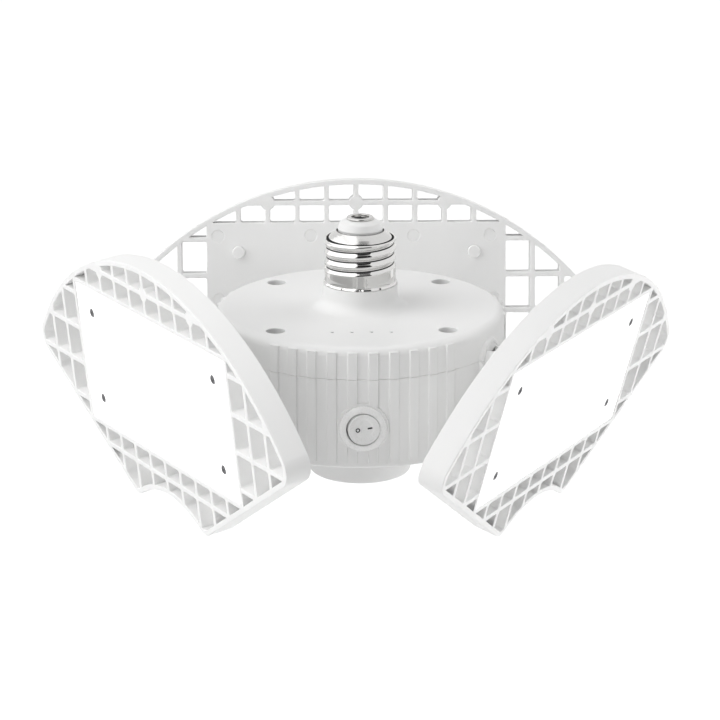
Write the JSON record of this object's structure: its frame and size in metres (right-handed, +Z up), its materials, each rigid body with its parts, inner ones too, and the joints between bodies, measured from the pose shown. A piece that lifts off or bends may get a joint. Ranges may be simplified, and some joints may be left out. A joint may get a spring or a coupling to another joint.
{
  "type": "folding panel ceiling light",
  "caption": "Screw-in ceiling light with a round drum, a rocker switch and fan-shaped lattice light panels on tilting, swivelling hinges.",
  "frame": {"origin": "on the axis of the screw base, at the foot of its metal skirt, where it meets the plastic neck", "axes": "+Z up along the screw base, into the socket; -Y is the front with the rocker switch; +X to the right of it"},
  "size_m": [0.2399, 0.2172, 0.103],
  "materials": {
    "white_plastic": "fine satin moulded plastic",
    "switch_plastic": "smooth semi-gloss",
    "insulator": "satin",
    "nickel": "bright nickel plate",
    "black_screws": "black oxide",
    "steel_screws": "zinc plated",
    "steel_pins": "ground",
    "light_pipes": "smoky clear",
    "circuit_board": "solder mask",
    "tinned_brass": "tinned",
    "transformer_tape": "tape over ferrite",
    "capacitor_sleeve": "shrink sleeve",
    "black_plastic": "satin",
    "cell_wrap": "shrink wrap",
    "lead_sleeve": "soft",
    "lamp_board": "white solder mask on a metal core",
    "opal_lens": "opal diffuser"
  },
  "bodies": {
    "housing": {"top_cap": "white_plastic", "lower_housing": "white_plastic", "bottom_cover": "white_plastic", "screw_shell": "nickel", "base_insulator": "insulator", "centre_contact": "nickel", "case_screws": "black_screws", "charge_lights": "light_pipes", "charge_light_board": "circuit_board", "switch_body": "switch_plastic", "switch_terminals": "tinned_brass", "driver_board": "circuit_board", "transformer": "transformer_tape", "capacitors": "capacitor_sleeve", "board_screws": "steel_screws", "battery_tray": "black_plastic", "battery_cells": "cell_wrap", "base_leads": "lead_sleeve"},
    "rocker": {"switch_rocker": "switch_plastic"},
    "left_swivel": {"left_swivel_collar": "white_plastic", "left_hinge_pin": "steel_pins"},
    "left_panel": {"left_arm": "white_plastic", "left_arm_screws": "steel_screws", "left_panel_frame": "white_plastic", "left_lamp_board": "lamp_board", "left_lens": "opal_lens", "left_lens_screws": "black_screws"},
    "right_swivel": {"right_swivel_collar": "white_plastic", "right_hinge_pin": "steel_pins"},
    "right_panel": {"right_arm": "white_plastic", "right_arm_screws": "steel_screws", "right_panel_frame": "white_plastic", "right_lamp_board": "lamp_board", "right_lens": "opal_lens", "right_lens_screws": "black_screws"},
    "back_swivel": {"back_swivel_collar": "white_plastic", "back_hinge_pin": "steel_pins"},
    "back_panel": {"back_arm": "white_plastic", "back_arm_screws": "steel_screws", "back_panel_frame": "white_plastic", "back_lamp_board": "lamp_board", "back_lens": "opal_lens", "back_lens_screws": "black_screws"}
  },
  "joints": [
    {"name": "rocker", "type": "hinge", "parent": "housing", "child": "rocker", "pos_m": [0, -0.0534, -0.0384], "axis": [0, 0, -1], "range_deg": [0, 14]},
    {"name": "left_swivel", "type": "hinge", "parent": "housing", "child": "left_swivel", "pos_m": [-0.05032, -0.02905, -0.0206], "axis": [-0.866, -0.5, 0], "range_deg": [-90, 90]},
    {"name": "left_tilt", "type": "hinge", "parent": "left_swivel", "child": "left_panel", "pos_m": [-0.05032, -0.02905, -0.0206], "axis": [0.5, -0.866, 0], "range_deg": [-36.6, 33.4]},
    {"name": "right_swivel", "type": "hinge", "parent": "housing", "child": "right_swivel", "pos_m": [0.05032, -0.02905, -0.0206], "axis": [0.866, -0.5, 0], "range_deg": [-90, 90]},
    {"name": "right_tilt", "type": "hinge", "parent": "right_swivel", "child": "right_panel", "pos_m": [0.05032, -0.02905, -0.0206], "axis": [0.5, 0.866, 0], "range_deg": [-45.4, 24.6]},
    {"name": "back_swivel", "type": "hinge", "parent": "housing", "child": "back_swivel", "pos_m": [0, 0.0581, -0.0206], "axis": [0, 1, 0], "range_deg": [-90, 90]},
    {"name": "back_tilt", "type": "hinge", "parent": "back_swivel", "child": "back_panel", "pos_m": [0, 0.0581, -0.0206], "axis": [-1, 0, 0], "range_deg": [-40.8, 29.2]}
  ]
}
